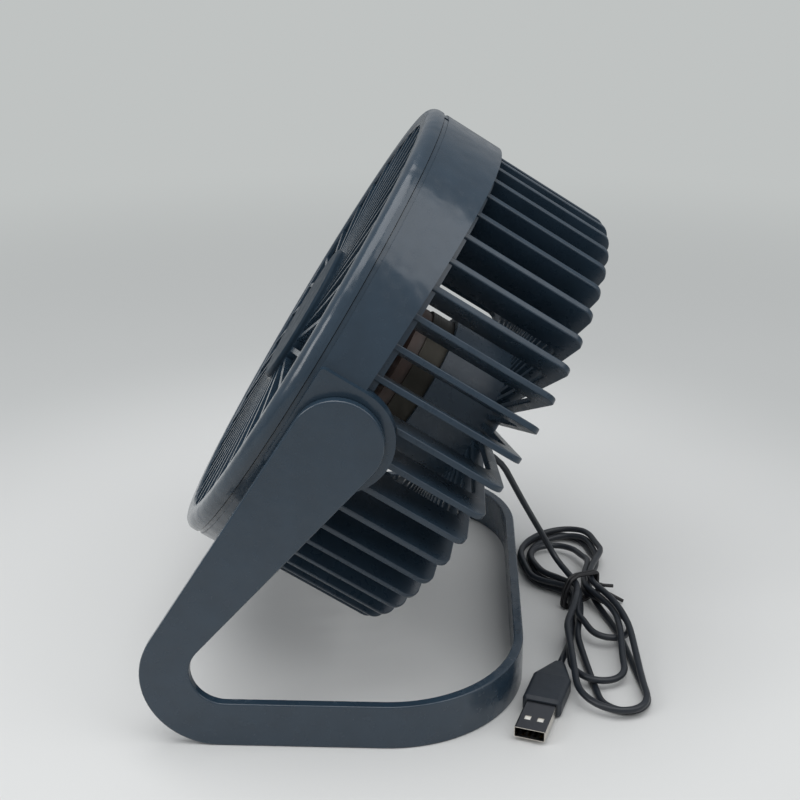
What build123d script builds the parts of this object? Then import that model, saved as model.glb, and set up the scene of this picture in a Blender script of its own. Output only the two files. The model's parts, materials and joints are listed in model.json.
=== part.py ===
from build123d import *
import os
from math import acos, cos, hypot, pi, radians, sin, sqrt, tan

os.makedirs("parts", exist_ok=True)

# All lengths are millimetres and all angles degrees. The table is Z = 0.
# The fan faces -Y, the pivots lie on a line along X, and the head leans back at rest.

# Fits and clearances
overrun = 5.0
seam_gap = 0.3
cage_fit_gap = 0.4
running_gap = 0.05
moving_gap = 0.3
cut_gap = 0.5
button_gap = 0.2

# Head placing
tilt_angle = 32.0
swing_clearance = 12.6

# Stand strap
stand_width = 208.0
strap_thickness = 4.0
leg_height = 18.5
stand_rear = 69.0
plan_corner_radius = 54.0
arm_end_radius = 16.6
arm_front_rake = 57.2
arm_rear_rake = 47.8
front_corner_radius = 28.6
inner_corner_radius = 13.0
strap_edge_radius = 0.7
match_gap = 0.001

# Pivots
stub_radius = 6.0
lobe_face_gap = 0.6
lobe_stand_out = 0.8
lobe_thickness = 5.4
pivot_washer_radius = 15.0
washer_gap = 0.1
retainer_radius = 9.0
retainer_thickness = 1.0
pivot_screw_radius = 1.5
pivot_screw_reach = 4.5
pivot_screw_head_radius = 3.2
pivot_screw_head_height = 2.0

# Front ring and grille
rim_depth = 6.0
rim_crown_radius = 4.5
lip_width = 9.1
lip_thickness = 2.4
lip_edge_radius = 1.0
skirt_depth = 1.6
skirt_thickness = 2.2
bar_count = 36
bar_width = 2.0
bar_depth = 3.0
bar_sink = 0.8
bar_offset = 15.0
grille_hub_radius = 30.5
grille_gap = 3.7
cap_setback = 0.5
cap_height = 2.4
cap_edge_radius = 1.4

# Side band
band_wall = 2.4
band_step_width = 1.7
band_step_depth = 0.5
band_edge_middle = -0.9
band_edge_top = 6.4
tongue_corner_radius = 1.5
notch_width = 4.0
notch_depth = 1.2
lobe_radius = 20.3

# Rear cage
cage_wall = 2.4
cage_ring_front = -8.0
cage_edge_middle = 2.0
cage_edge_top = 7.4
rib_count = 48
rib_thickness = 2.4
rib_depth = 4.8
rib_side_depth = 14.0
rib_front = -2.0
rib_setback = 1.2
rib_corner_radius = 5.0
rib_inner_corner_radius = 3.5
rib_edge_radius = 0.5
rib_stand_out = 0.8
drum_wall = 2.4
drum_edge_radius = 1.2
drum_floor = 2.5
post_count = 3
post_radius = 2.0
post_margin = 4.0

# Motor, placed by how far the front of its can lies behind the pivots
can_front = 19.6
can_radius = 28.2
can_length = 27.4
can_wall = 1.2
can_bare_length = 9.9
plate_setback = 0.6
plate_thickness = 3.6
plate_gap = 1.6
spigot_depth = 1.4
shaft_radius = 1.6
shaft_tip = 0.5
shaft_end_gap = 0.5
bearing_radius = 5.0
bearing_length = 5.0
boss_radius = 8.0
magnet_gap = 0.7
magnet_front_room = 5.4
magnet_rear_room = 7.0
core_bore_radius = 16.2
core_front_room = 7.4
core_rear_room = 9.0
coil_inner_margin = 1.0
coil_outer_margin = 2.0
coil_depth = 4.0
coil_round_radius = 1.5

# Board, switch and wiring in the drum
board_margin = 2.6
board_thickness = 1.6
board_gap = 2.5
terminal_radius = 0.6
terminal_spread = 8.0
wire_radius = 0.6
wire_spread = 1.2
switch_wall = 0.8
switch_floor = 1.0
switch_gap = 1.8
switch_up = 13.0
button_radius = 6.0
button_stand_out = 2.4
button_skirt = 0.6
button_edge_radius = 1.0
button_travel = 1.5
stem_radius = 2.5
stem_length = 2.9
gland_up = -12.0
gland_neck_radius = 3.0
gland_flange_radius = 4.4
gland_flange_thickness = 1.5
gland_length = 8.0
gland_root_radius = 4.0
gland_tip_radius = 2.2

# Impeller
hub_radius = 20.0
hub_depth = 23.0
hub_gap = 6.4
hub_wall = 2.0
hub_edge_radius = 4.0
sleeve_radius = 5.0
sleeve_setback = 2.0
nut_width = 7.0
nut_thickness = 3.0
blade_count = 5
blade_thickness = 2.0
blade_tip_gap = 5.0
blade_root_sink = 1.5
blade_place_shares = [0.0, 0.48, 1.0]
blade_chord_shares = [0.302, 0.442, 0.535]
blade_pitches = [42.0, 31.0, 24.0]

# Cord, hank and tie
cord_diameter = 2.8
cord_radius = cord_diameter / 2
run_share = 0.45
flat_share = 1e-6
hank_lift = 0.6
layer_step = 3.3
waist_x = -8.0
waist_y = 92.0
hank_turn = 8.0
waist_inner = 2.0
waist_outer = 6.2
waist_lead = 10.2
near_lobe_turn = -6.5
near_lobe_reach = 73.0
near_lobe_half = 15.4
near_lobe_step = 3.4
far_lobe_turn = 9.0
far_lobe_reach = 42.0
far_lobe_half = 19.0
far_lobe_step = 4.8
hank_start_x = -12.0
hank_start_y = -11.8
hank_start_z = 7.8
hank_end_x = 9.0
gap_sample_pitch = 1.5
tie_gap = 0.3
tie_thickness = 0.5
tie_width = 3.0
tie_tail_width = 1.6
tie_tail_lengths = [8.0, 13.0]
tie_tail_angles = [100.0, 62.0]
tie_tail_thickness = 0.8
lead_straight = 9.0
lead_landing = 9.0
lead_points = [(-7.0, 54.0, 59.5), (-17.0, 59.7, 43.7), (-27.0, 67.5, 28.5), (-31.3, 73.2, 16.6)]
tail_straight = 6.0
tail_points = [(20.4, 83.9, 1.9), (33.6, 77.6, 2.2)]
tail_landing = 10.0

# Plug
plug_tip_x = 98.6
plug_tip_y = 57.4
plug_turn = -17.4
shell_length = 18.2
shell_width = 12.0
shell_height = 4.5
shell_wall = 0.3
shell_corner_radius = 0.6
window_side = 2.4
window_spread = 2.5
window_back = 7.0
boot_width = 15.5
boot_height = 8.0
boot_length = 17.5
boot_corner_radius = 2.0
boot_edge = 1.2
relief_length = 12.5
relief_side = 5.4
relief_corner_radius = 2.2
insert_height = 1.9
insert_setback = 3.0
insert_gap = 0.1
contact_count = 4
contact_pitch = 2.25
contact_width = 1.1
contact_thickness = 0.25
contact_length = 8.0
contact_setback = 1.0

# Places along the head, as distances behind the pivots, worked out from the motor can
can_rear = can_front + can_length
plate_rear = can_front - plate_gap
plate_front = plate_rear - plate_thickness
spigot_rear = can_front + spigot_depth
magnet_front = can_front + magnet_front_room
magnet_rear = can_rear - magnet_rear_room
core_front = can_front + core_front_room
core_rear = can_rear - core_rear_room
shaft_rear = can_rear - shaft_end_gap
hub_rear = plate_front - hub_gap
hub_front = hub_rear - hub_depth
sleeve_rear = hub_rear - sleeve_setback
shaft_front = hub_front - nut_thickness - shaft_tip
board_front = can_rear + board_gap
board_rear = board_front + board_thickness
stem_depth = button_skirt + stem_length + button_travel + button_gap
switch_depth = stem_depth + switch_floor
drum_front = can_front + can_bare_length
drum_inside = board_rear + switch_gap + switch_depth
drum_rear = drum_inside + drum_floor
gland_tip = drum_rear + gland_length
rib_rear = drum_rear - rib_setback

# Places forward of the pivots
bars_rear = grille_gap - shaft_front
bars_front = bars_rear + bar_depth
rim_front = bars_front + bar_sink
seam_forward = rim_front - rim_depth

# Radii and sideways places
arm_inner_x = stand_width / 2 - strap_thickness
lobe_face_x = arm_inner_x - lobe_face_gap
lobe_inner_x = lobe_face_x - lobe_thickness
stub_end_x = lobe_inner_x - moving_gap
retainer_x = stub_end_x - retainer_thickness
screw_head_x = retainer_x - pivot_screw_head_height
pivot_washer_thickness = lobe_face_gap - washer_gap
head_radius = lobe_face_x - lobe_stand_out
lip_inner_radius = head_radius - lip_width
band_bore = head_radius - band_wall
cage_radius = band_bore - cage_fit_gap
blade_radius = cage_radius - rib_side_depth - blade_tip_gap
cap_radius = grille_hub_radius - cap_setback
drum_bore = can_radius + cage_fit_gap
drum_radius = drum_bore + drum_wall
can_bore = can_radius - can_wall
plate_radius = can_radius - plate_setback
magnet_radius = core_bore_radius - magnet_gap
coil_inner_radius = core_bore_radius + coil_inner_margin
coil_outer_radius = can_bore - coil_outer_margin
board_radius = drum_bore - board_margin
post_circle = board_radius - post_margin
switch_side = 2 * (button_radius + button_gap + switch_wall)

# The pivots stand high enough for the rear corner of the cage to swing over the table
swing_radius = hypot(cage_radius - rib_corner_radius, rib_rear - rib_corner_radius) + rib_corner_radius
pivot_height = swing_radius + swing_clearance

front_rake = radians(arm_front_rake)
rear_rake = radians(arm_rear_rake)
front_tangent = (-arm_end_radius * sin(front_rake), pivot_height + arm_end_radius * cos(front_rake))
rear_tangent = (arm_end_radius * sin(rear_rake), pivot_height - arm_end_radius * cos(rear_rake))
front_corner_y = front_tangent[0] - front_tangent[1] / tan(front_rake)
inner_corner_y = rear_tangent[0] - (rear_tangent[1] - leg_height) / tan(rear_rake)
leg_rear = stand_rear - plan_corner_radius
front_reach = front_corner_radius - front_corner_y - front_corner_radius / tan(front_rake / 2)

tilt = radians(tilt_angle)
tip_along = (rib_rear - rib_corner_radius) * cos(tilt)
tip_across = (cage_radius - rib_corner_radius) * sin(tilt)
rear_reach = tip_along + tip_across + rib_corner_radius
pivot_y = (front_reach - rear_reach) / 2
pivot = Vector(0, pivot_y, pivot_height)
front_dir = Vector(0, -cos(tilt), sin(tilt))
rear_dir = Vector(0, cos(tilt), -sin(tilt))
up_dir = Vector(0, sin(tilt), cos(tilt))
spin_axis = Axis(pivot, front_dir)

# In the face plane local x is sideways, y up the face and z forward.
# In the section plane local x is the radius and y the distance forward of the pivots.
# In a side plane local x runs rearward from the pivots and z is outward.
face_plane = Plane(origin=pivot, x_dir=(1, 0, 0), z_dir=front_dir)
section_plane = Plane(origin=pivot, x_dir=(1, 0, 0), z_dir=-up_dir)
side_planes = [Plane(origin=pivot, x_dir=rear_dir, z_dir=(way, 0, 0)) for way in (1, -1)]
stand_plane = Plane(origin=(0, pivot_y, 0), x_dir=(0, 1, 0), z_dir=(1, 0, 0))


def behind(distance):
    """Face plane moved rearward from the pivots."""
    return face_plane.offset(-distance)


def section(*points):
    """Filled outline of (radius, distance behind the pivots)."""
    Polygon(*[(radius, -back) for radius, back in points], align=None)


def ring_section(inner, outer, front, rear):
    """Rectangular section of a ring."""
    section((inner, front), (outer, front), (outer, rear), (inner, rear))


def corner(sketch, radius, back):
    """Corner of a section nearest to a place."""
    return sketch.vertices().sort_by_distance((radius, -back))[0]


def strap_edge(edge):
    """True for the long edges of the strap, on its flat faces or its upper and lower rims."""
    box = edge.bounding_box()
    upright = box.size.X < match_gap and box.max.X**2 > (arm_inner_x - match_gap) ** 2
    level = box.size.Z < match_gap and (box.max.Z < match_gap or abs(box.max.Z - leg_height) < match_gap)
    across = box.size.Y < match_gap and box.size.Z < match_gap and box.size.X < strap_thickness + match_gap
    stub = edge.geom_type == GeomType.CIRCLE and edge.radius < inner_corner_radius - match_gap
    return (upright or level) and not across and not stub


# Stand: arms, front corners, legs and crossbar in one strap, with the pivot stubs
with BuildPart() as stand_frame:
    with BuildSketch(stand_plane.offset(arm_inner_x)) as arm:
        with BuildLine():
            Polyline(
                (leg_rear, 0),
                (front_corner_y, 0),
                front_tangent,
                rear_tangent,
                (inner_corner_y, leg_height),
                (leg_rear, leg_height),
                close=True,
            )
        make_face()
        fillet(arm.vertices().sort_by(Axis.X)[1], inner_corner_radius)
        fillet(arm.vertices().sort_by(Axis.X)[0], front_corner_radius)
        with Locations((0, pivot_height)):
            Circle(arm_end_radius)
    extrude(amount=strap_thickness)
    with BuildSketch(stand_plane.offset(stub_end_x)):
        with Locations((0, pivot_height)):
            Circle(stub_radius)
    extrude(amount=arm_inner_x - stub_end_x)
    with BuildSketch(stand_plane.offset(stub_end_x)):
        with Locations((0, pivot_height)):
            Circle(pivot_screw_radius)
    extrude(amount=pivot_screw_reach, mode=Mode.SUBTRACT)
    mirror(about=Plane.YZ)
    with BuildSketch(Plane.XY.offset(0)):
        half = stand_width / 2
        bend_x = half - plan_corner_radius
        bend_y = pivot_y + leg_rear
        bend_inner = plan_corner_radius - strap_thickness
        with BuildLine():
            Line((half, bend_y), (half - strap_thickness, bend_y))
            CenterArc((bend_x, bend_y), bend_inner, 0, 90)
            Line((bend_x, bend_y + bend_inner), (-bend_x, bend_y + bend_inner))
            CenterArc((-bend_x, bend_y), bend_inner, 90, 90)
            Line((strap_thickness - half, bend_y), (-half, bend_y))
            CenterArc((-bend_x, bend_y), plan_corner_radius, 90, 90)
            Line((-bend_x, bend_y + plan_corner_radius), (bend_x, bend_y + plan_corner_radius))
            CenterArc((bend_x, bend_y), plan_corner_radius, 0, 90)
        make_face()
    extrude(amount=leg_height)
    fillet(stand_frame.edges().filter_by(strap_edge), strap_edge_radius)
stand_frame.part.label = "stand_frame"
export_step(stand_frame.part, "parts/stand_frame.step")


def both_sides(x):
    """Planes across the pivot line at a distance from the middle, on each side."""
    return [plane.offset(x) for plane in side_planes]


# Friction washers against the arms
with BuildPart() as pivot_washers:
    with BuildSketch(*both_sides(arm_inner_x - pivot_washer_thickness)):
        Circle(pivot_washer_radius)
        Circle(stub_radius, mode=Mode.SUBTRACT)
    extrude(amount=pivot_washer_thickness)
pivot_washers.part.label = "pivot_washers"
export_step(pivot_washers.part, "parts/pivot_washers.step")

# Retaining washers on the ends of the stubs
with BuildPart() as pivot_retainers:
    with BuildSketch(*both_sides(retainer_x)):
        Circle(retainer_radius)
        Circle(pivot_screw_radius, mode=Mode.SUBTRACT)
    extrude(amount=retainer_thickness)
pivot_retainers.part.label = "pivot_retainers"
export_step(pivot_retainers.part, "parts/pivot_retainers.step")

# Screws through the retainers into the stubs
with BuildPart() as pivot_screws:
    with BuildSketch(*both_sides(screw_head_x)):
        Circle(pivot_screw_head_radius)
    extrude(amount=pivot_screw_head_height)
    with BuildSketch(*both_sides(retainer_x)):
        Circle(pivot_screw_radius)
    extrude(amount=retainer_thickness + pivot_screw_reach)
pivot_screws.part.label = "pivot_screws"
export_step(pivot_screws.part, "parts/pivot_screws.step")

# Front grille: crowned ring, slanted bars and hub disc
skirt_outer = band_bore - seam_gap
skirt_inner = skirt_outer - skirt_thickness
with BuildPart() as front_grille:
    with BuildSketch(section_plane) as rim:
        section(
            (head_radius, -seam_forward),
            (head_radius, -rim_front),
            (lip_inner_radius, -rim_front),
            (lip_inner_radius, lip_thickness - rim_front),
            (skirt_inner, lip_thickness - rim_front),
            (skirt_inner, skirt_depth - seam_forward),
            (skirt_outer, skirt_depth - seam_forward),
            (skirt_outer, -seam_forward),
        )
        fillet(corner(rim, lip_inner_radius, -rim_front), lip_edge_radius)
        fillet(corner(rim, head_radius, -rim_front), rim_crown_radius)
    revolve(axis=spin_axis)
    bar_outer = (lip_inner_radius + skirt_inner) / 2
    bar_length = sqrt(bar_outer**2 - bar_offset**2)
    with BuildSketch(face_plane.offset(bars_rear)):
        with PolarLocations(bar_offset, bar_count):
            Rectangle(bar_width, bar_length, align=(Align.CENTER, Align.MIN))
        Circle(grille_hub_radius)
    extrude(amount=bar_depth)
front_grille.part.label = "front_grille"
export_step(front_grille.part, "parts/front_grille.step")

# Round cap on the grille's hub
with BuildPart() as centre_cap:
    with BuildSketch(face_plane.offset(bars_front)):
        Circle(cap_radius)
    extrude(amount=cap_height)
    fillet(centre_cap.faces().sort_by(spin_axis)[-1].edges(), cap_edge_radius)
centre_cap.part.label = "centre_cap"
export_step(centre_cap.part, "parts/centre_cap.step")


def saddle_cut(middle, top, radius):
    """Cut away what lies behind an edge that reaches further back above and below."""
    rise = top - middle
    edge_radius = (radius**2 + rise**2) / (2 * rise)
    with BuildSketch(side_planes[0]) as cut:
        with Locations((middle + edge_radius, 0)):
            Circle(edge_radius)
    extrude(cut.sketch, amount=head_radius + overrun, both=True, mode=Mode.SUBTRACT)


def tongue_outline(margin):
    """Pivot tongue with its round lobe, grown by a margin."""
    tongue_length = seam_forward - band_step_width - seam_gap + margin
    Circle(lobe_radius + margin)
    with Locations((-tongue_length, 0)):
        Rectangle(tongue_length, 4 * lobe_radius, align=(Align.MAX, Align.CENTER), mode=Mode.SUBTRACT)
        Rectangle(tongue_length, 2 * (lobe_radius + margin), align=(Align.MIN, Align.CENTER))


# Side band with the raised panel, tongues, lobes, pivot holes and a notch in the seam
with BuildPart() as shroud_band:
    with BuildSketch(section_plane):
        band_front = seam_gap - seam_forward
        section(
            (band_bore, band_front),
            (head_radius - band_step_depth, band_front),
            (head_radius - band_step_depth, band_front + band_step_width),
            (head_radius, band_front + band_step_width),
            (head_radius, band_edge_top + overrun),
            (band_bore, band_edge_top + overrun),
        )
    revolve(axis=spin_axis)
    saddle_cut(band_edge_middle, band_edge_top, head_radius)
    with BuildSketch(*both_sides(lobe_inner_x)) as tongue:
        tongue_outline(0)
        fillet(tongue.vertices().group_by(Axis.X)[0], tongue_corner_radius)
    extrude(amount=lobe_thickness)
    with BuildSketch(behind(band_front)):
        with Locations((0, head_radius)):
            Rectangle(notch_width, 2 * notch_depth)
    extrude(amount=-band_step_width, mode=Mode.SUBTRACT)
    with BuildSketch(*side_planes):
        Circle(stub_radius + running_gap)
    extrude(amount=stand_width, mode=Mode.SUBTRACT)
shroud_band.part.label = "shroud_band"
export_step(shroud_band.part, "parts/shroud_band.step")

# Rib: it runs along the side, turns the rear corner and runs in to the drum
rib_root = (drum_bore + drum_radius) / 2
with BuildPart() as rib:
    with BuildSketch(section_plane) as rib_outline:
        section(
            (cage_radius, rib_front),
            (cage_radius, rib_rear),
            (rib_root, rib_rear),
            (rib_root, rib_rear - rib_depth),
            (cage_radius - rib_side_depth, rib_rear - rib_depth),
            (cage_radius - rib_side_depth, rib_front),
        )
        fillet(corner(rib_outline, cage_radius, rib_rear), rib_corner_radius)
        inner_corner = corner(rib_outline, cage_radius - rib_side_depth, rib_rear - rib_depth)
        fillet(inner_corner, rib_inner_corner_radius)
    revolve(axis=spin_axis)
    with BuildSketch(behind(rib_rear + overrun)):
        Rectangle(cage_radius + overrun, rib_thickness, align=(Align.MIN, Align.CENTER))
    extrude(amount=rib_rear + overrun - rib_front + overrun, mode=Mode.INTERSECT)
    fillet(rib.faces().sort_by(Axis(pivot, up_dir))[0].edges(), rib_edge_radius)
    fillet(rib.faces().sort_by(Axis(pivot, up_dir))[-1].edges(), rib_edge_radius)

# Rear cage: rim ring, ribs and the drum with its rear wall and board posts
with BuildPart() as rear_cage:
    with BuildSketch(section_plane):
        ring_outer = cage_radius - rib_stand_out
        ring_section(ring_outer - cage_wall, ring_outer, cage_ring_front, cage_edge_top + overrun)
    revolve(axis=spin_axis)
    saddle_cut(cage_edge_middle, cage_edge_top, cage_radius)
    add([rib.part.rotate(spin_axis, 360 / rib_count * turn) for turn in range(rib_count)])
    with BuildSketch(section_plane) as drum_outline:
        section(
            (drum_bore, drum_front),
            (drum_radius, drum_front),
            (drum_radius, drum_rear),
            (0, drum_rear),
            (0, drum_inside),
            (drum_bore, drum_inside),
        )
        fillet(corner(drum_outline, drum_radius, drum_rear), drum_edge_radius)
    revolve(axis=spin_axis)
    with BuildSketch(behind(drum_inside)):
        with PolarLocations(post_circle, post_count, start_angle=-90):
            Circle(post_radius)
    extrude(amount=drum_inside - board_rear)
    with BuildSketch(*both_sides(lobe_inner_x - cage_fit_gap)):
        tongue_outline(cage_fit_gap)
    extrude(amount=lobe_thickness, mode=Mode.SUBTRACT)
    with BuildSketch(*both_sides(screw_head_x - cut_gap)):
        Circle(retainer_radius + cut_gap)
    extrude(amount=stand_width, mode=Mode.SUBTRACT)
    with BuildSketch(behind(drum_rear + overrun)):
        with Locations((0, switch_up)):
            Circle(button_radius + button_gap)
        with Locations((0, gland_up)):
            Circle(gland_neck_radius)
    extrude(amount=drum_floor + overrun, mode=Mode.SUBTRACT)
rear_cage.part.label = "rear_cage"
export_step(rear_cage.part, "parts/rear_cage.step")

# Motor can with the rear bearing boss
bearing_front = can_rear - bearing_length
with BuildPart() as motor_can:
    with BuildSketch(section_plane):
        section(
            (can_bore, can_front),
            (can_radius, can_front),
            (can_radius, can_rear),
            (bearing_radius, can_rear),
            (bearing_radius, bearing_front),
            (boss_radius, bearing_front),
            (boss_radius, can_rear - can_wall),
            (can_bore, can_rear - can_wall),
        )
    revolve(axis=spin_axis)
motor_can.part.label = "motor_can"
export_step(motor_can.part, "parts/motor_can.step")

# Front end plate, its spigot inside the can
with BuildPart() as motor_end_plate:
    with BuildSketch(section_plane):
        section(
            (bearing_radius, plate_front),
            (plate_radius, plate_front),
            (plate_radius, plate_rear),
            (can_bore, plate_rear),
            (can_bore, spigot_rear),
            (bearing_radius, spigot_rear),
        )
    revolve(axis=spin_axis)
motor_end_plate.part.label = "motor_end_plate"
export_step(motor_end_plate.part, "parts/motor_end_plate.step")

# Plain bearings in the end plate and in the can's boss
with BuildPart() as motor_bearings:
    with BuildSketch(section_plane):
        bearing_bore = shaft_radius + running_gap
        ring_section(bearing_bore, bearing_radius, plate_front, plate_front + bearing_length)
        ring_section(bearing_bore, bearing_radius, bearing_front, can_rear)
    revolve(axis=spin_axis)
motor_bearings.part.label = "motor_bearings"
export_step(motor_bearings.part, "parts/motor_bearings.step")

# Laminated stator ring
with BuildPart() as stator_core:
    with BuildSketch(section_plane):
        ring_section(core_bore_radius, can_bore, core_front, core_rear)
    revolve(axis=spin_axis)
stator_core.part.label = "stator_core"
export_step(stator_core.part, "parts/stator_core.step")

# End turns of the winding on both faces of the stator
with BuildPart() as stator_coils:
    with BuildSketch(section_plane) as coil_outline:
        ring_section(coil_inner_radius, coil_outer_radius, core_front - coil_depth, core_front)
        ring_section(coil_inner_radius, coil_outer_radius, core_rear, core_rear + coil_depth)
        for coil_radius in (coil_inner_radius, coil_outer_radius):
            fillet(corner(coil_outline, coil_radius, core_front - coil_depth), coil_round_radius)
            fillet(corner(coil_outline, coil_radius, core_rear + coil_depth), coil_round_radius)
    revolve(axis=spin_axis)
stator_coils.part.label = "stator_coils"
export_step(stator_coils.part, "parts/stator_coils.step")

# Shaft
with BuildPart() as motor_shaft:
    with BuildSketch(behind(shaft_rear)):
        Circle(shaft_radius)
    extrude(amount=shaft_rear - shaft_front)
motor_shaft.part.label = "motor_shaft"
export_step(motor_shaft.part, "parts/motor_shaft.step")

# Magnet on the shaft
with BuildPart() as rotor_magnet:
    with BuildSketch(section_plane):
        ring_section(shaft_radius, magnet_radius, magnet_front, magnet_rear)
    revolve(axis=spin_axis)
rotor_magnet.part.label = "rotor_magnet"
export_step(rotor_magnet.part, "parts/rotor_magnet.step")

# Blades: thin sections that flatten and widen from root to tip
blade_root = hub_radius - blade_root_sink
blade_end = blade_radius + blade_thickness
blade_middle = (hub_front + hub_rear) / 2
with BuildPart() as blade:
    for place_share, chord_share, pitch in zip(blade_place_shares, blade_chord_shares, blade_pitches):
        blade_at = blade_root + (blade_end - blade_root) * place_share
        blade_place = pivot + up_dir * blade_at + rear_dir * blade_middle
        with BuildSketch(Plane(origin=blade_place, x_dir=(1, 0, 0), z_dir=up_dir)):
            Rectangle(blade_radius * chord_share, blade_thickness, rotation=pitch)
    loft()

# Impeller: cup hub with a shaft sleeve, and the blades
with BuildPart() as impeller:
    with BuildSketch(section_plane) as hub_outline:
        section(
            (shaft_radius, hub_front),
            (hub_radius, hub_front),
            (hub_radius, hub_rear),
            (hub_radius - hub_wall, hub_rear),
            (hub_radius - hub_wall, hub_front + hub_wall),
            (sleeve_radius, hub_front + hub_wall),
            (sleeve_radius, sleeve_rear),
            (shaft_radius, sleeve_rear),
        )
        fillet(corner(hub_outline, hub_radius, hub_front), hub_edge_radius)
        fillet(corner(hub_outline, hub_radius - hub_wall, hub_front + hub_wall), hub_edge_radius - hub_wall)
    revolve(axis=spin_axis)
    add([blade.part.rotate(spin_axis, 360 / blade_count * turn) for turn in range(blade_count)])
    with BuildSketch(behind(hub_rear + overrun)):
        Circle(blade_radius)
    extrude(amount=hub_rear - hub_front + overrun + overrun, mode=Mode.INTERSECT)
impeller.part.label = "impeller"
export_step(impeller.part, "parts/impeller.step")

# Nut ahead of the hub
with BuildPart() as impeller_nut:
    with BuildSketch(behind(hub_front)):
        RegularPolygon(nut_width / 2, 6, major_radius=False)
        Circle(shaft_radius, mode=Mode.SUBTRACT)
    extrude(amount=nut_thickness)
impeller_nut.part.label = "impeller_nut"
export_step(impeller_nut.part, "parts/impeller_nut.step")

# Round board on the posts of the drum
with BuildPart() as control_board:
    with BuildSketch(behind(board_rear)):
        Circle(board_radius)
    extrude(amount=board_thickness)
control_board.part.label = "control_board"
export_step(control_board.part, "parts/control_board.step")

# Pins from the motor to the board
with BuildPart() as motor_terminals:
    with BuildSketch(behind(board_front)):
        with Locations((-terminal_spread, 0), (terminal_spread, 0)):
            Circle(terminal_radius)
    extrude(amount=board_front - can_rear)
motor_terminals.part.label = "motor_terminals"
export_step(motor_terminals.part, "parts/motor_terminals.step")

# Conductors from the gland to the board
gland_inside = drum_inside - gland_flange_thickness
with BuildPart() as supply_wires:
    with BuildSketch(behind(gland_inside)):
        with Locations((-wire_spread, gland_up), (wire_spread, gland_up)):
            Circle(wire_radius)
    extrude(amount=gland_inside - board_rear)
supply_wires.part.label = "supply_wires"
export_step(supply_wires.part, "parts/supply_wires.step")

# Push switch behind the board, with a well for the button and a bore for its stem
well_depth = button_travel + button_skirt + button_gap
with BuildPart() as switch_body:
    with BuildSketch(behind(drum_inside)):
        with Locations((0, switch_up)):
            Rectangle(switch_side, switch_side)
    extrude(amount=switch_depth)
    with BuildSketch(behind(drum_inside)):
        with Locations((0, switch_up)):
            Circle(button_radius + button_gap)
    extrude(amount=well_depth, mode=Mode.SUBTRACT)
    with BuildSketch(behind(drum_inside)):
        with Locations((0, switch_up)):
            Circle(stem_radius + button_gap)
    extrude(amount=stem_depth, mode=Mode.SUBTRACT)
switch_body.part.label = "switch_body"
export_step(switch_body.part, "parts/switch_body.step")

# Button with its stem
button_foot = drum_inside - button_skirt
with BuildPart() as switch_button:
    with BuildSketch(behind(drum_rear + button_stand_out)):
        with Locations((0, switch_up)):
            Circle(button_radius)
    extrude(amount=drum_rear + button_stand_out - button_foot)
    fillet(switch_button.faces().sort_by(spin_axis)[0].edges(), button_edge_radius)
    with BuildSketch(behind(button_foot)):
        with Locations((0, switch_up)):
            Circle(stem_radius)
    extrude(amount=stem_length)
switch_button.part.label = "switch_button"
export_step(switch_button.part, "parts/switch_button.step")

# Strain relief in the drum's rear wall
gland_axis = Axis(pivot + up_dir * gland_up, front_dir)
gland_plane = Plane(origin=pivot + up_dir * gland_up, x_dir=(1, 0, 0), z_dir=-up_dir)
with BuildPart() as cord_gland:
    with BuildSketch(gland_plane):
        section(
            (0, gland_inside),
            (gland_flange_radius, gland_inside),
            (gland_flange_radius, drum_inside),
            (gland_neck_radius, drum_inside),
            (gland_neck_radius, drum_rear),
            (gland_root_radius, drum_rear),
            (gland_tip_radius, gland_tip),
            (0, gland_tip),
        )
    revolve(axis=gland_axis)
cord_gland.part.label = "cord_gland"
export_step(cord_gland.part, "parts/cord_gland.step")

# Hank: in its own frame local x runs along the hank, y across it and z up
hank_plane = Plane(
    origin=(waist_x, waist_y, 0),
    x_dir=(cos(radians(hank_turn)), sin(radians(hank_turn)), 0),
    z_dir=(0, 0, 1),
)
lower_layer = hank_lift + cord_radius
upper_layer = lower_layer + layer_step


def hank_place(x, y, z):
    """Place in the hank's frame."""
    return hank_plane.origin + hank_plane.x_dir * x + hank_plane.y_dir * y + Vector(0, 0, z)


def hank_way(x, y, z):
    """Direction in the hank's frame."""
    return (hank_plane.x_dir * x + hank_plane.y_dir * y + Vector(0, 0, z)).normalized()


def waist(y, z, way):
    """Station where a strand runs through the waist."""
    return hank_place(0, y, z), hank_way(way, 0, 0)


def lobe(near, size, z_in, z_out):
    """Stations of one loop end: where it is widest, its end, and widest again."""
    turn = radians(near_lobe_turn if near else far_lobe_turn)
    way = 1 if near else -1
    along = Vector(way * cos(turn), way * sin(turn), 0)
    across = Vector(-along.Y, along.X, 0)
    reach = near_lobe_reach if near else far_lobe_reach
    half_width = near_lobe_half - near_lobe_step * size if near else far_lobe_half - far_lobe_step * size
    fall = (z_out - z_in) / (pi * half_width)
    first = along * reach - across * half_width
    end = along * (reach + half_width)
    last = along * reach + across * half_width
    z_mid = (z_in + z_out) / 2
    return [
        (hank_place(first.X, first.Y, z_in), hank_way(along.X, along.Y, 0)),
        (hank_place(end.X, end.Y, z_mid), hank_way(across.X, across.Y, fall)),
        (hank_place(last.X, last.Y, z_out), hank_way(-along.X, -along.Y, 0)),
    ]


def biarc_middle(start, start_way, end, end_way):
    """Middle point of two arcs that join two stations, and the direction there."""
    across = end - start
    both = start_way + end_way
    spread = 2 * (1 - start_way.dot(end_way))
    reach = across.dot(both)
    square = across.dot(across)
    arm_length = square / (2 * reach)
    if spread > flat_share:
        arm_length = (sqrt(reach * reach + spread * square) - reach) / spread
    first = start + start_way * arm_length
    last = end - end_way * arm_length
    return (first + last) / 2, (last - first).normalized()


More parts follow.
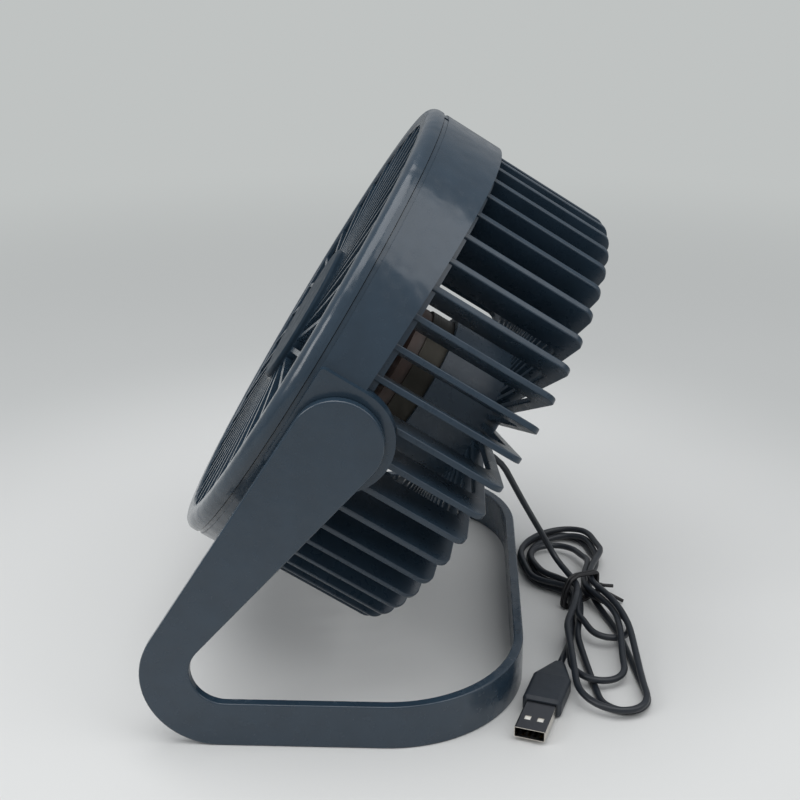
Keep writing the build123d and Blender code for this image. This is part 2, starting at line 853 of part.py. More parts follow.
hank_start = hank_place(hank_start_x, hank_start_y, hank_start_z)
hank_start_way = (hank_place(0, -waist_lead, upper_layer) - hank_start).normalized()
hank_end = hank_place(hank_end_x, -waist_outer, lower_layer)
stations = [(hank_start + hank_start_way * cord_diameter, hank_start_way)]
stations += [waist(-waist_lead, upper_layer, 1)]
stations += lobe(True, 0, upper_layer, upper_layer) + [waist(waist_outer, upper_layer, -1)]
stations += lobe(False, 0, upper_layer, upper_layer) + [waist(-waist_outer, upper_layer, 1)]
stations += lobe(True, 1, upper_layer, upper_layer) + [waist(waist_inner, upper_layer, -1)]
stations += lobe(False, 1, upper_layer, upper_layer) + [waist(-waist_inner, upper_layer, 1)]
stations += lobe(True, 2, upper_layer, lower_layer) + [waist(waist_inner, lower_layer, -1)]
stations += lobe(False, 1, lower_layer, lower_layer) + [waist(-waist_inner, lower_layer, 1)]
stations += lobe(True, 1, lower_layer, lower_layer) + [waist(waist_outer, lower_layer, -1)]
stations += lobe(False, 0, lower_layer, lower_layer) + [waist(-waist_outer, lower_layer, 1)]

with BuildPart() as cord_hank:
    with BuildLine() as hank_path:
        Line(hank_start, stations[0][0])
        for (here, here_way), (there, there_way) in zip(stations, stations[1:]):
            middle, middle_way = biarc_middle(here, here_way, there, there_way)
            TangentArc(here, middle, tangent=here_way)
            TangentArc(middle, there, tangent=middle_way)
        Line(stations[-1][0], hank_end)
    with BuildSketch(Plane(origin=hank_start, z_dir=hank_start_way)):
        Circle(cord_radius)
    sweep()
cord_hank.part.label = "cord_hank"
export_step(cord_hank.part, "parts/cord_hank.step")

# Free gap between the turns of the hank, measured on points along the path
hank_wire = hank_path.wires()[0]
sample_count = int(hank_wire.length / gap_sample_pitch)
samples = [hank_wire.position_at(step / sample_count) for step in range(sample_count + 1)]
skip = int(pi * cord_diameter / gap_sample_pitch)
hank_gap = min(
    (samples[first] - samples[second]).length
    for first in range(len(samples))
    for second in range(first + skip, len(samples))
) - cord_diameter
hank_bends = [edge.radius for edge in hank_wire.edges() if edge.geom_type == GeomType.CIRCLE]
print("hank length", round(hank_wire.length, 1), "gap", round(hank_gap, 2), "bend", round(min(hank_bends), 1))
print("hank volume share", round(cord_hank.part.volume / (hank_wire.length * pi * cord_radius**2), 4))


def route_radii(points):
    """Bend radius at each inner point of a route."""
    radii = []
    for before, here, after in zip(points, points[1:], points[2:]):
        run_in = here - before
        run_out = after - here
        turn = acos(run_in.normalized().dot(run_out.normalized()))
        radii.append(run_share * min(run_in.length, run_out.length) / tan(turn / 2))
    return radii


# Free stretch from the gland to the hank
lead_start = pivot + rear_dir * gland_tip + up_dir * gland_up
lead_route = [lead_start, lead_start + rear_dir * lead_straight]
lead_route += [Vector(*point) for point in lead_points]
lead_route += [hank_start - hank_start_way * lead_landing, hank_start]
with BuildPart() as cord_lead:
    with BuildLine() as lead_path:
        FilletPolyline(*lead_route, radius=route_radii(lead_route))
    with BuildSketch(Plane(origin=lead_start, z_dir=rear_dir)):
        Circle(cord_radius)
    sweep()
cord_lead.part.label = "cord_lead"
export_step(cord_lead.part, "parts/cord_lead.step")
lead_wire = lead_path.wires()[0]
print("lead radii", [round(radius, 1) for radius in route_radii(lead_route)], round(lead_wire.length, 1))
print("lead volume share", round(cord_lead.part.volume / (lead_wire.length * pi * cord_radius**2), 4))

# Plug frame: local x points to the tip of the plug
plug_way = Vector(cos(radians(plug_turn)), sin(radians(plug_turn)), 0)
plug_side = Vector(-plug_way.Y, plug_way.X, 0)
plug_tip = Vector(plug_tip_x, plug_tip_y, boot_height / 2)
shell_back = plug_tip - plug_way * shell_length
boot_back = shell_back - plug_way * boot_length
relief_back = boot_back - plug_way * relief_length


def plug_plane(place):
    """Plane across the plug, local x sideways and y up."""
    return Plane(origin=place, x_dir=plug_side, z_dir=plug_way)


# Stretch from the hank to the plug
tail_route = [hank_end, hank_end + hank_plane.x_dir * tail_straight]
tail_route += [Vector(*point) for point in tail_points]
tail_route += [relief_back - plug_way * tail_landing, relief_back]
with BuildPart() as cord_tail:
    with BuildLine() as tail_path:
        FilletPolyline(*tail_route, radius=route_radii(tail_route))
    with BuildSketch(Plane(origin=hank_end, z_dir=hank_plane.x_dir)):
        Circle(cord_radius)
    sweep()
cord_tail.part.label = "cord_tail"
export_step(cord_tail.part, "parts/cord_tail.step")
tail_wire = tail_path.wires()[0]
print("tail radii", [round(radius, 1) for radius in route_radii(tail_route)], round(tail_wire.length, 1))
print("tail volume share", round(cord_tail.part.volume / (tail_wire.length * pi * cord_radius**2), 4))

# Tie round the waist, with two loose ends
tie_left = waist_lead + cord_radius + tie_gap
tie_right = waist_outer + cord_radius + tie_gap
tie_bottom = hank_lift - tie_gap / 2
tie_top = upper_layer + cord_radius + tie_gap
tie_corner = cord_radius + tie_gap
tie_plane = Plane(origin=hank_place(0, 0, 0), x_dir=hank_plane.y_dir, z_dir=hank_plane.x_dir)
with BuildPart() as cord_tie:
    with BuildSketch(tie_plane):
        with Locations(((tie_right - tie_left) / 2, (tie_top + tie_bottom) / 2)):
            loop_width = tie_left + tie_right
            loop_height = tie_top - tie_bottom
            band = 2 * tie_thickness
            RectangleRounded(loop_width + band, loop_height + band, tie_corner + tie_thickness)
            RectangleRounded(loop_width, loop_height, tie_corner, mode=Mode.SUBTRACT)
    extrude(amount=tie_width / 2, both=True)
    with BuildSketch(hank_plane.offset(upper_layer)):
        for tail_length, tail_angle in zip(tie_tail_lengths, tie_tail_angles):
            with Locations(Location((0, tie_right + tie_thickness / 2, 0), tail_angle)):
                Rectangle(tail_length, tie_tail_width, align=(Align.MIN, Align.CENTER))
    extrude(amount=tie_tail_thickness)
cord_tie.part.label = "cord_tie"
export_step(cord_tie.part, "parts/cord_tie.step")

# Grip of the plug, tapering to the cord
with BuildPart() as plug_boot:
    with BuildSketch(plug_plane(boot_back)):
        RectangleRounded(boot_width, boot_height, boot_corner_radius)
    extrude(amount=boot_length)
    chamfer(plug_boot.faces().sort_by(Axis(plug_tip, plug_way))[-1].edges(), boot_edge)
    with BuildSketch(plug_plane(boot_back)):
        RectangleRounded(boot_width, boot_height, boot_corner_radius)
    with BuildSketch(plug_plane(relief_back)):
        RectangleRounded(relief_side, relief_side, relief_corner_radius)
    loft()
plug_boot.part.label = "plug_boot"
export_step(plug_boot.part, "parts/plug_boot.step")

# Shell of the plug, with two windows above and two below
shell_bore_width = shell_width - 2 * shell_wall
shell_bore_height = shell_height - 2 * shell_wall
with BuildPart() as plug_shell:
    with BuildSketch(plug_plane(shell_back)):
        RectangleRounded(shell_width, shell_height, shell_corner_radius)
        RectangleRounded(shell_bore_width, shell_bore_height, shell_corner_radius - shell_wall, mode=Mode.SUBTRACT)
    extrude(amount=shell_length)
    with BuildSketch(Plane(origin=plug_tip, x_dir=plug_way, z_dir=(0, 0, 1))):
        with Locations((-window_back, -window_spread), (-window_back, window_spread)):
            Rectangle(window_side, window_side)
    extrude(amount=boot_height, both=True, mode=Mode.SUBTRACT)
plug_shell.part.label = "plug_shell"
export_step(plug_shell.part, "parts/plug_shell.step")

# Tongue against the top of the shell
insert_front = shell_length - insert_setback
insert_top = shell_bore_height / 2 - insert_gap
with BuildPart() as plug_insert:
    with BuildSketch(plug_plane(shell_back)):
        with Locations((0, insert_top - insert_height / 2)):
            Rectangle(shell_bore_width - 2 * insert_gap, insert_height)
    extrude(amount=insert_front)
plug_insert.part.label = "plug_insert"
export_step(plug_insert.part, "parts/plug_insert.step")

# Contacts under the tongue
with BuildPart() as plug_contacts:
    with BuildSketch(plug_plane(shell_back + plug_way * (insert_front - contact_setback - contact_length))):
        with Locations((0, insert_top - insert_height - contact_thickness / 2)):
            with GridLocations(contact_pitch, contact_pitch, contact_count, 1):
                Rectangle(contact_width, contact_thickness)
    extrude(amount=contact_length)
plug_contacts.part.label = "plug_contacts"
export_step(plug_contacts.part, "parts/plug_contacts.step")
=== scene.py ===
import json
from math import cos, hypot, pi, radians, sin

import bmesh
import bpy
import numpy as np
from mathutils import Matrix, Vector


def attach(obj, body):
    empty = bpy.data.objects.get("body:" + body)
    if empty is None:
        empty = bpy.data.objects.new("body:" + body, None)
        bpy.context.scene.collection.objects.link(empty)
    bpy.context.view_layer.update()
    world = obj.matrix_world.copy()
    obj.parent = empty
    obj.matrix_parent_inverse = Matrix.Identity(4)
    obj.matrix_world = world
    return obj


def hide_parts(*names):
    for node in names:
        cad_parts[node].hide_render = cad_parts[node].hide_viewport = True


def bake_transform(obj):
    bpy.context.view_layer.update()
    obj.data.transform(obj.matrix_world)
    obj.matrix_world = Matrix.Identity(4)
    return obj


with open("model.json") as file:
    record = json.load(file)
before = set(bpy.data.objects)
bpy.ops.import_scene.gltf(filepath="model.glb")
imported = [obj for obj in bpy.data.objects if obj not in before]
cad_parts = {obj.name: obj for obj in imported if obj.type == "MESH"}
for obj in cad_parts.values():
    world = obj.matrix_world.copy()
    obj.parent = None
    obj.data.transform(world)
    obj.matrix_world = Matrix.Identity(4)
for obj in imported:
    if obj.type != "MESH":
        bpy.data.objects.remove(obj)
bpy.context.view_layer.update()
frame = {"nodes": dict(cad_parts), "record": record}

# Lengths are metres, but diameters, routes and loops of the cord and its tie are millimetres
mm = 0.001
nodes = frame["nodes"]

# Camera, fitted to the photograph
camera_place = (0.50168, 0.02837, 0.29942)
camera_yaw = radians(92.67)
camera_pitch = radians(21.68)
camera_roll = radians(-0.43)
camera_lens = 57.61
camera_sensor = 36.0

# Floor: painted light, palest round the object and darker away from it, and the camera sees an even tone far
# behind it
floor_radius = 9.0
floor_sides = 96
floor_painted_lit = (0.67, 0.675, 0.67)
floor_painted_dim = (0.535, 0.545, 0.54)
floor_reaches = (0.17, 0.38)
floor_rough = 0.55
floor_specular = 0.25
backdrop = (0.525, 0.545, 0.54)
backdrop_reaches = (0.3, 1.0)

# Light: each lamp has a place, a width and a power
world_colour = (0.62, 0.64, 0.66)
world_strength = 0.61
lamp_target = (0, 0, 0.1)
lamps = {
    "top_lamp": ((0.15, -0.1, 1.1), 1.0, 7.8),
    "front_lamp": ((0.5, -0.9, 0.7), 0.5, 3.2),
    "rear_lamp": ((0.3, 0.75, 0.85), 0.8, 3.0),
}

# Tube that is drawn along a route
cord_diameter = 2.8
tube_sides = 12
route_order = 3
route_resolution = 3

# Hank: place and turn of its waist, and how its strands rest on each other and on the floor
hank_origin = np.array((-7.0, 86.0))
hank_turn = radians(8.0)
point_pitch = 3.0
contact = 3.2
floor_lift = 1.45
sag_step = 0.02
settle_passes = 60
settle_skip = 6

# Rows of strands at the waist, and how the loops leave it
lead_row = -3.4
outer_row = 4.8
inner_row = 1.6
near_bulge = 0.5
far_bulge = 0.75
waist_lean = 0.65
waist_span = 45.0

# Each loop: side of the waist, reach, half width, turn in degrees, lean, share of the reach
# where it has its full width, and row at the waist where it ends
loops = [
    (1, 76.0, 13.4, -4.0, 0.22, near_bulge, outer_row),
    (-1, 40.0, 18.6, 3.5, 0.25, far_bulge, -outer_row),
    (1, 59.0, 10.8, -6.6, 0.1, near_bulge, inner_row),
    (-1, 35.0, 11.5, 8.0, 0.0, far_bulge, -inner_row),
    (1, 31.0, 9.4, 9.0, 0.0, far_bulge, inner_row),
    (-1, 41.0, 15.5, 1.0, 0.2, far_bulge, -inner_row),
    (1, 77.0, 9.6, -0.5, 0.05, near_bulge, outer_row),
    (-1, 43.0, 17.5, 4.5, 0.25, far_bulge, -outer_row),
]

# Route of the free stretch from the gland to the hank, and of the stretch from the hank to the plug
lead_route = [
    (0.0, 40.507, 76.907),
    (0.0, 48.140, 72.138),
    (-5.5, 53.0, 60.6),
    (-11.5, 58.5, 47.8),
    (-16.5, 63.5, 36.8),
    (-20.6, 68.4, 26.6),
    (-21.8, 72.4, 18.4),
    (-18.0, 76.2, 13.4),
]
tail_route = [
    (6.0, 80.6, 2.0),
    (19.0, 80.4, 1.9),
    (32.5, 77.8, 2.2),
    (43.064, 74.804, 4.0),
    (52.606, 71.814, 4.0),
]

# Tie: turns of wire round the waist, and its two ends, beside, ahead of and above the waist
tie_wire = 1.6
tie_turns = 2
tie_steps = 48
tie_pitch = 1.7
tie_reach = 4.0
tie_clearance = 0.05
tie_span = tie_pitch + tie_wire
tie_lowest = tie_wire / 2 + tie_clearance
tie_lift = cord_diameter / 2 + tie_wire + tie_clearance
waist_half = 14.0
tie_ends = [(15.0, 5.5, 4.6), (12.4, 14.0, 1.6)]

# Directions seen from above: along and across the hank, and beside and ahead of its waist
hank_along = np.array((cos(hank_turn), sin(hank_turn)))
hank_across = np.array((-sin(hank_turn), cos(hank_turn)))
waist_beside = (hank_across - waist_lean * hank_along) / hypot(1.0, waist_lean)
waist_ahead = np.array((waist_beside[1], -waist_beside[0]))

# Noise on the surfaces: scales in repeats for each metre, and detail
noise_range = (0.3, 0.7)
noise_detail = 3.0
tone_scale = 110.0
rough_scale = 250.0
grain_detail = 2.0
wave_detail = 1.0
metal_tone_scale = 120.0
metal_tint = 0.12
line_detail = 4.0
coat_rough = 0.1

# Plug: its direction, the colours of its shell and insert, with painted shade on the shell's level top and on
# the insert in its mouth, and how deep the painted shade in its mouth reaches
plug_turn = radians(-17.4)
plug_way = Vector((cos(plug_turn), sin(plug_turn), 0.0))
shell_side = (0.66, 0.62, 0.56)
# painted shade: the level top of the shell darker than its sides
shell_top_painted_shade = (0.13, 0.135, 0.15)
insert_inner = (0.78, 0.77, 0.73)
# painted shade: the insert dark in the front of the mouth
insert_mouth_painted_shade = (0.03, 0.03, 0.032)
mouth_depth = 0.004

# Finishes: colour and range of roughness, and what differs from the usual;
# grain and wave are reliefs, each with a scale and a depth
finishes = {
    "shell_plastic": dict(colour=(0.021, 0.039, 0.060), rough=(0.18, 0.30), wave=(110.0, 0.0004), coat=0.25),
    "cage_plastic": dict(colour=(0.021, 0.038, 0.058), rough=(0.24, 0.36), wave=(70.0, 0.0003)),
    "cap_plastic": dict(colour=(0.016, 0.029, 0.044), rough=(0.30, 0.42), wave=(40.0, 0.0003), shine=0.05),
    "impeller_plastic": dict(colour=(0.016, 0.028, 0.042), rough=(0.30, 0.42)),
    "button_plastic": dict(colour=(0.024, 0.040, 0.058), rough=(0.34, 0.46)),
    # phenolic: its own dark brown, darkened further to stand for the shade inside the head, painted shade
    "phenolic": dict(colour=(0.034, 0.017, 0.012), rough=(0.32, 0.5), tint=0.25, grain=(700.0, 0.00003)),
    "bronze": dict(colour=(0.42, 0.30, 0.15), rough=(0.35, 0.5), metal=1.0, grain=(1500.0, 0.00002)),
    "magnet": dict(colour=(0.045, 0.045, 0.05), rough=(0.5, 0.65), grain=(1500.0, 0.00003)),
    "nylon": dict(colour=(0.60, 0.60, 0.56), rough=(0.35, 0.45), tint=0.04),
    "board": dict(colour=(0.015, 0.085, 0.035), rough=(0.25, 0.4), tint=0.15),
    "switch_plastic": dict(colour=(0.016, 0.016, 0.017), rough=(0.4, 0.5)),
    "wire_sleeve": dict(colour=(0.25, 0.012, 0.010), rough=(0.35, 0.45)),
    "cord_jacket": dict(colour=(0.014, 0.018, 0.025), rough=(0.34, 0.48), grain=(1400.0, 0.00002)),
    "tie_jacket": dict(colour=(0.010, 0.010, 0.012), rough=(0.42, 0.55)),
    "boot_plastic": dict(colour=(0.018, 0.024, 0.033), rough=(0.42, 0.54), grain=(1600.0, 0.00003)),
    "insert_plastic": dict(colour=insert_inner, rough=(0.4, 0.5)),
    "gold": dict(colour=(0.75, 0.50, 0.16), rough=(0.2, 0.32), metal=1.0),
}

# Brushed metals: colour, range of roughness, and turn, scale and depth of the lines
head_turn = (radians(-32.0), 0.0, 0.0)
plug_lines = (0.0, 0.0, -plug_turn)
metals = {
    # motor_steel: its colour darkened to stand for the shade inside the head, painted shade
    "motor_steel": ((0.040, 0.038, 0.033), (0.30, 0.48), head_turn, (60.0, 1500.0, 60.0), 0.00002),
    "steel": ((0.52, 0.52, 0.52), (0.22, 0.36), (0, 0, 0), (1200.0, 200.0, 200.0), 0.00001),
    "core_steel": ((0.16, 0.16, 0.17), (0.4, 0.55), head_turn, (40.0, 2000.0, 40.0), 0.00004),
    "copper": ((0.52, 0.22, 0.09), (0.25, 0.4), head_turn, (1800.0, 300.0, 300.0), 0.00005),
    "shell_steel": (shell_side, (0.14, 0.26), plug_lines, (150.0, 1500.0, 150.0), 0.00001),
}


def ease(share):
    """Smooth step from 0 to 1."""
    return share * share * (3 - 2 * share)


def loop_points(side, reach, half, turn, lean, bulge, row_in, row_out):
    """Points of one loop of the hank, seen from above in the hank's frame."""
    points = []
    edge = -side * half

    def put(out, across):
        share = ease(min(1.0, out / reach))
        angle = radians(turn) * share
        out += lean * across * share
        x = side * out * cos(angle) - across * sin(angle)
        y = side * out * sin(angle) + across * cos(angle)
        points.append((x - waist_lean * y * (1 - ease(min(1.0, abs(x) / waist_span))), y))

    steps = int(reach / point_pitch)
    for step in range(steps):
        share = step / steps
        put(reach * share, row_in + (edge - row_in) * ease(min(1.0, share / bulge)))
    arc_steps = int(pi * half / point_pitch)
    for step in range(arc_steps + 1):
        angle = pi * step / arc_steps - pi / 2
        put(reach + half * cos(angle), side * half * sin(angle))
    for step in range(steps - 1, 0, -1):
        share = step / steps
        put(reach * share, row_out - (edge + row_out) * ease(min(1.0, share / bulge)))
    return points


def hank_plan():
    """Points of the whole hank from above, and which of them lie in the tie."""
    points = []
    row = lead_row
    for *shape, row_out in loops:
        points += loop_points(*shape, row, row_out)
        row = row_out
    points = np.array(points + [(-waist_lean * row, row)])
    places = hank_origin + points[:, :1] * hank_along + points[:, 1:] * hank_across
    return places, np.abs((places - hank_origin) @ waist_ahead) < tie_reach


def settle(places, lowest):
    """Heights of a cord laid down from its plug end, each strand resting on what lies under it."""
    count = len(places)
    heights = lowest.copy()
    squares = ((places[:, None] - places[None]) ** 2).sum(2)
    order = np.arange(count)
    under = [np.where((squares[i] < contact**2) & (order > i + settle_skip))[0] for i in range(count)]
    for turn in range(settle_passes):
        for i in range(count - 1, -1, -1):
            rest = lowest[i]
            if len(under[i]):
                rest = max(rest, (heights[under[i]] + np.sqrt(contact**2 - squares[i, under[i]])).max())
            beside = (heights[max(i - 1, 0)] + heights[min(i + 1, count - 1)]) / 2
            heights[i] = max(rest, beside - sag_step) if turn else rest
    return heights


def evened(points):
    """Points at even steps along a route."""
    reached = np.append(0.0, np.cumsum(np.linalg.norm(np.diff(points, axis=0), axis=1)))
    steps = np.linspace(0.0, reached[-1], int(reached[-1] / point_pitch) + 1)
    return np.column_stack([np.interp(steps, reached, part) for part in points.T])


def cord_points():
    """Control points of the whole cord, from the gland to the plug, in metres."""
    plan, in_tie = hank_plan()
    lowest = np.where(in_tie, tie_lift, floor_lift)
    tail = evened(np.array(tail_route))
    places = np.vstack([plan, tail[:, :2]])
    heights = settle(places, np.concatenate([lowest, tail[:, 2]]))[: len(plan)]
    hank = np.column_stack([plan, heights])
    return np.vstack([lead_route, hank, tail_route]) * mm


def tie_points(line):
    """Control points of the tie, in metres: one end, turns snug round the strands, the other end."""
    places = np.array(line) / mm
    ahead = (places[:, :2] - hank_origin) @ waist_ahead
    beside = (places[:, :2] - hank_origin) @ waist_beside
    crossing = (np.abs(ahead) < tie_span) & (np.abs(beside) < waist_half)
    strands = np.column_stack([beside, places[:, 2]])[crossing]
    turns = []
    for step in range(tie_turns * tie_steps + 1):
        angle = 2 * pi * step / tie_steps
        way = np.array((cos(angle), sin(angle)))
        side, height = strands[(strands @ way).argmax()] + (cord_diameter + tie_wire) / 2 * way
        turns.append((side, tie_pitch * (step / tie_steps - tie_turns / 2), max(height, tie_lowest)))
    points = np.array([tie_ends[0], *turns, tie_ends[1]])
    flat = hank_origin + points[:, :1] * waist_beside + points[:, 1:2] * waist_ahead
    return np.column_stack([flat, points[:, 2]]) * mm


def spline_line(points):
    """Points read from one smooth spline with the given control points."""
    curve = bpy.data.curves.new("cord_route", "CURVE")
    curve.dimensions = "3D"
    curve.resolution_u = route_resolution
    spline = curve.splines.new("NURBS")
    spline.points.add(len(points) - 1)
    for point, place in zip(spline.points, points):
        point.co = (*place, 1.0)
    spline.order_u = route_order
    spline.use_endpoint_u = True
    holder = bpy.data.objects.new("cord_route", curve)
    bpy.context.scene.collection.objects.link(holder)
    mesh = bpy.data.meshes.new_from_object(holder)
    line = [vertex.co.copy() for vertex in mesh.vertices]
    bpy.data.objects.remove(holder)
    bpy.data.meshes.remove(mesh)
    return line


def mesh_piece(name, build, smooth=True):
    """Object from a bmesh."""
    mesh = bpy.data.meshes.new(name)
    build.to_mesh(mesh)
    build.free()
    for face in mesh.polygons:
        face.use_smooth = smooth
    piece = bpy.data.objects.new(name, mesh)
    bpy.context.scene.collection.objects.link(piece)
    return piece


def tube(name, line, radius):
    """Closed tube along a line, with rounded shading."""
    build = bmesh.new()
    rings = []
    side = Vector((1, 0, 0))
    for index, place in enumerate(line):
        way = (line[min(index + 1, len(line) - 1)] - line[max(index - 1, 0)]).normalized()
        side = (side - way * side.dot(way)).normalized()
        up = way.cross(side)
        ring = []
        for step in range(tube_sides):
            angle = 2 * pi * step / tube_sides
            ring.append(build.verts.new(place + (side * cos(angle) + up * sin(angle)) * radius))
        rings.append(ring)
    for here, there in zip(rings, rings[1:]):
        for step in range(tube_sides):
            after = (step + 1) % tube_sides
            build.faces.new((here[step], here[after], there[after], there[step]))
    build.faces.new(list(reversed(rings[0])))
    build.faces.new(rings[-1])
    bmesh.ops.recalc_face_normals(build, faces=build.faces)
    return mesh_piece(name, build)


def shader(name):
    """New material with its shader and the object's own coordinates."""
    material = bpy.data.materials.new(name)
    material.use_nodes = True
    tree = material.node_tree
    surface = tree.nodes["Principled BSDF"]
    where = tree.nodes.new("ShaderNodeTexCoord").outputs["Object"]
    return material, tree, surface, where


def noise(tree, where, scale, detail=noise_detail):
    """Grey noise of a scale in repeats for each metre."""
    texture = tree.nodes.new("ShaderNodeTexNoise")
    texture.inputs["Scale"].default_value = scale
    texture.inputs["Detail"].default_value = detail
    tree.links.new(where, texture.inputs["Vector"])
    return texture.outputs["Fac"]


def stretched(tree, where, turn, scale):
    """Coordinates turned and stretched."""
    mapping = tree.nodes.new("ShaderNodeMapping")
    mapping.inputs["Rotation"].default_value = turn
    mapping.inputs["Scale"].default_value = scale
    tree.links.new(where, mapping.inputs["Vector"])
    return mapping.outputs["Vector"]


def ranged(tree, value, source, target=(0.0, 1.0), smooth=False):
    """Maps one range of a value to another."""
    step = tree.nodes.new("ShaderNodeMapRange")
    if smooth:
        step.interpolation_type = "SMOOTHSTEP"
    for socket, part in zip(("From Min", "From Max", "To Min", "To Max"), (*source, *target)):
        step.inputs[socket].default_value = part
    tree.links.new(value, step.inputs["Value"])
    return step.outputs["Result"]


def mixed(tree, factor, first, second):
    """Colour between two others."""
    mix = tree.nodes.new("ShaderNodeMix")
    mix.data_type = "RGBA"
    mix.inputs["A"].default_value = (*first, 1)
    mix.inputs["B"].default_value = (*second, 1)
    tree.links.new(factor, mix.inputs["Factor"])
    return mix.outputs["Result"]


def tinted(tree, value, colour, share):
    """Colour that varies by a share of itself with a noise."""
    darker = [part * (1 - share) for part in colour]
    paler = [part * (1 + share) for part in colour]
    return mixed(tree, ranged(tree, value, noise_range), darker, paler)


def bumped(tree, heights):
    """Normal from a list of noise, depth in metres."""
    normal = None
    for height, depth in heights:
        bump = tree.nodes.new("ShaderNodeBump")
        bump.inputs["Strength"].default_value = 1.0
        bump.inputs["Distance"].default_value = depth
        tree.links.new(height, bump.inputs["Height"])
        if normal is not None:
            tree.links.new(normal, bump.inputs["Normal"])
        normal = bump.outputs["Normal"]
    return normal


def along(tree, vector, way):
    """How far a vector reaches in a direction."""
    product = tree.nodes.new("ShaderNodeVectorMath")
    product.operation = "DOT_PRODUCT"
    product.inputs[1].default_value = way
    tree.links.new(vector, product.inputs[0])
    return product.outputs["Value"]


def overlay(material, factor, colour):
    """Mixes another colour over a material's own."""
    tree = material.node_tree
    base = tree.nodes["Principled BSDF"].inputs["Base Color"]
    own = base.links[0].from_socket
    mix = tree.nodes.new("ShaderNodeMix")
    mix.data_type = "RGBA"
    mix.inputs["B"].default_value = (*colour, 1)
    tree.links.new(factor, mix.inputs["Factor"])
    tree.links.new(own, mix.inputs["A"])
    tree.links.new(mix.outputs["Result"], base)


def finish(name, colour, rough, tint=0.08, metal=0.0, grain=(900.0, 0.00001), wave=None, coat=0.0, shine=0.5):
    """Moulded or metal finish with tone, roughness and relief that vary over the surface."""
    material, tree, surface, where = shader(name)
    tone = tinted(tree, noise(tree, where, tone_scale), colour, tint)
    tree.links.new(tone, surface.inputs["Base Color"])
    gloss = ranged(tree, noise(tree, where, rough_scale), noise_range, rough)
    tree.links.new(gloss, surface.inputs["Roughness"])
    grain_scale, grain_depth = grain
    reliefs = [(noise(tree, where, grain_scale, grain_detail), grain_depth)]
    if wave:
        wave_scale, wave_depth = wave
        reliefs.append((noise(tree, where, wave_scale, wave_detail), wave_depth))
    relief = bumped(tree, reliefs)
    tree.links.new(relief, surface.inputs["Normal"])
    tree.links.new(relief, surface.inputs["Coat Normal"])
    surface.inputs["Metallic"].default_value = metal
    surface.inputs["Coat Weight"].default_value = coat
    surface.inputs["Coat Roughness"].default_value = coat_rough
    surface.inputs["Specular IOR Level"].default_value = shine
    return material


def brushed(name, colour, rough, turn, scale, depth):
    """Drawn or brushed metal with fine lines one way."""
    material, tree, surface, where = shader(name)
    lines = noise(tree, stretched(tree, where, turn, scale), 1.0, line_detail)
    tone = tinted(tree, noise(tree, where, metal_tone_scale), colour, metal_tint)
    tree.links.new(tone, surface.inputs["Base Color"])
    tree.links.new(ranged(tree, lines, noise_range, rough), surface.inputs["Roughness"])
    tree.links.new(bumped(tree, [(lines, depth)]), surface.inputs["Normal"])
    surface.inputs["Metallic"].default_value = 1.0
    return material


def paint_level_shade(material, colour):
    """Gives another colour to the faces that lie level: painted shade."""
    tree = material.node_tree
    normal = tree.nodes.new("ShaderNodeNewGeometry").outputs["Normal"]
    overlay(material, ranged(tree, along(tree, normal, (0, 0, 1)), noise_range), colour)


def paint_mouth_shade(material, colour):
    """Gives another colour to what lies in the plug's mouth: painted shade."""
    tree = material.node_tree
    front = max(vertex.co.dot(plug_way) for vertex in nodes["plug_shell"].data.vertices)
    where = tree.nodes.new("ShaderNodeTexCoord").outputs["Object"]
    mouth = (front - mouth_depth, front - mouth_depth / 2)
    overlay(material, ranged(tree, along(tree, where, plug_way), mouth), colour)


def floor_look():
    """Floor with painted light that fades away from the object, far behind it to a tone that only the camera
    sees.
    """
    material, tree, surface, where = shader("floor")
    length = tree.nodes.new("ShaderNodeVectorMath")
    length.operation = "LENGTH"
    tree.links.new(where, length.inputs[0])
    away = length.outputs["Value"]
    # painted light: the floor paler round the object and darker away from it
    tone = mixed(tree, ranged(tree, away, floor_reaches, smooth=True), floor_painted_lit, floor_painted_dim)
    tree.links.new(tone, surface.inputs["Base Color"])
    surface.inputs["Roughness"].default_value = floor_rough
    surface.inputs["Specular IOR Level"].default_value = floor_specular
    glow = tree.nodes.new("ShaderNodeEmission")
    glow.inputs["Color"].default_value = (*backdrop, 1)
    seen = tree.nodes.new("ShaderNodeMath")
    seen.operation = "MULTIPLY"
    tree.links.new(ranged(tree, away, backdrop_reaches, smooth=True), seen.inputs[0])
    tree.links.new(tree.nodes.new("ShaderNodeLightPath").outputs["Is Camera Ray"], seen.inputs[1])
    either = tree.nodes.new("ShaderNodeMixShader")
    tree.links.new(seen.outputs["Value"], either.inputs["Fac"])
    tree.links.new(surface.outputs["BSDF"], either.inputs[1])
    tree.links.new(glow.outputs["Emission"], either.inputs[2])
    tree.links.new(either.outputs["Shader"], tree.nodes["Material Output"].inputs["Surface"])
    return material


def lamp(name, place, width, power):
    """Square lamp that faces the object."""
    light = bpy.data.lights.new(name, "AREA")
    light.shape = "SQUARE"
    light.size = width
    light.energy = power
    holder = bpy.data.objects.new(name, light)
    holder.location = place
    holder.rotation_euler = (Vector(lamp_target) - Vector(place)).to_track_quat("-Z", "Y").to_euler()
    bpy.context.scene.collection.objects.link(holder)


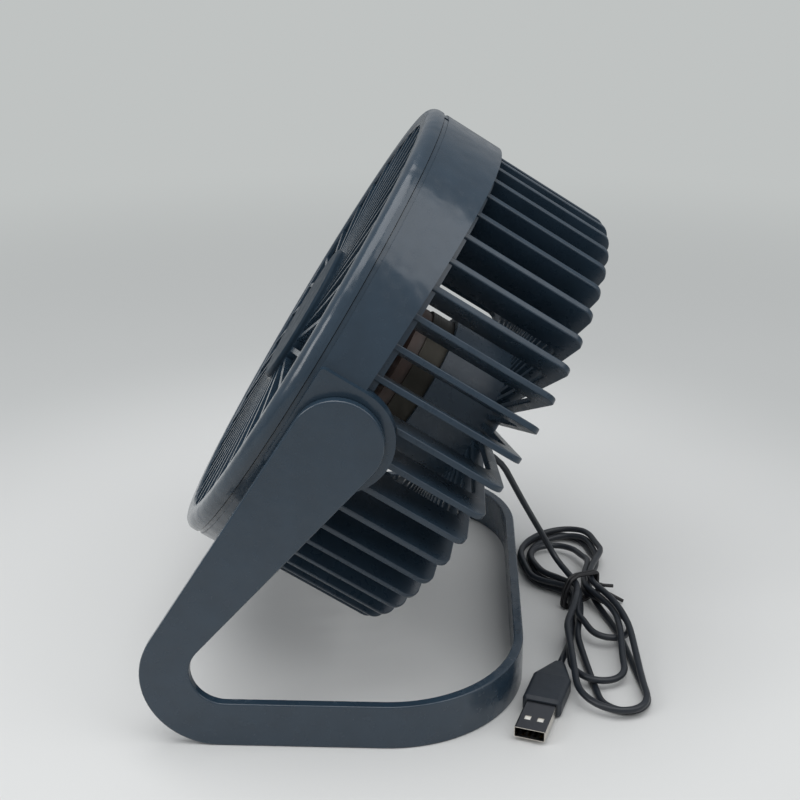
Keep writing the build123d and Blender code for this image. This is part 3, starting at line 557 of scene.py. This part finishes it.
# Materials on the pieces of the part
looks = {name: finish(name, **values) for name, values in finishes.items()}
looks |= {name: brushed(name, *values) for name, values in metals.items()}
# Painted shade on the level top of the plug's shell
paint_level_shade(looks["shell_steel"], shell_top_painted_shade)
# Painted shade on the insert in the plug's mouth
paint_mouth_shade(looks["insert_plastic"], insert_mouth_painted_shade)
slot_of = {part["node"]: part["material_slot"] for part in frame["record"]["subparts"]}
for name, piece in nodes.items():
    piece.data.materials.clear()
    piece.data.materials.append(looks[slot_of[name]])

# Cord: one tube from the gland through the hank to the plug
line = spline_line(cord_points())
cord = tube("cord", line, cord_diameter / 2 * mm)
cord.data.materials.append(looks["cord_jacket"])
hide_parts("cord_lead", "cord_hank", "cord_tail")
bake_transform(cord)

# Tie round the waist of the hank
tie = tube("tie", spline_line(tie_points(line)), tie_wire / 2 * mm)
tie.data.materials.append(looks["tie_jacket"])
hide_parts("cord_tie")
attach(tie, "stand")

# Floor
build = bmesh.new()
bmesh.ops.create_circle(build, cap_ends=True, segments=floor_sides, radius=floor_radius)
floor = mesh_piece("floor", build, smooth=False)
floor.data.materials.append(floor_look())

# Light
world = bpy.data.worlds.new("studio")
world.use_nodes = True
world.node_tree.nodes["Background"].inputs["Color"].default_value = (*world_colour, 1)
world.node_tree.nodes["Background"].inputs["Strength"].default_value = world_strength
bpy.context.scene.world = world
for name, values in lamps.items():
    lamp(name, *values)

# Camera
turned = Vector((cos(camera_yaw), sin(camera_yaw), 0))
back = Vector((sin(camera_yaw) * cos(camera_pitch), -cos(camera_yaw) * cos(camera_pitch), sin(camera_pitch)))
raised = back.cross(turned)
right = turned * cos(camera_roll) + raised * sin(camera_roll)
up = raised * cos(camera_roll) - turned * sin(camera_roll)
camera_data = bpy.data.cameras.new("camera")
camera_data.lens = camera_lens
camera_data.sensor_width = camera_sensor
camera = bpy.data.objects.new("camera", camera_data)
camera.matrix_world = Matrix.Translation(camera_place) @ Matrix((right, up, back)).transposed().to_4x4()
bpy.context.scene.collection.objects.link(camera)
bpy.context.scene.camera = camera
bpy.context.scene.view_settings.view_transform = "Standard"
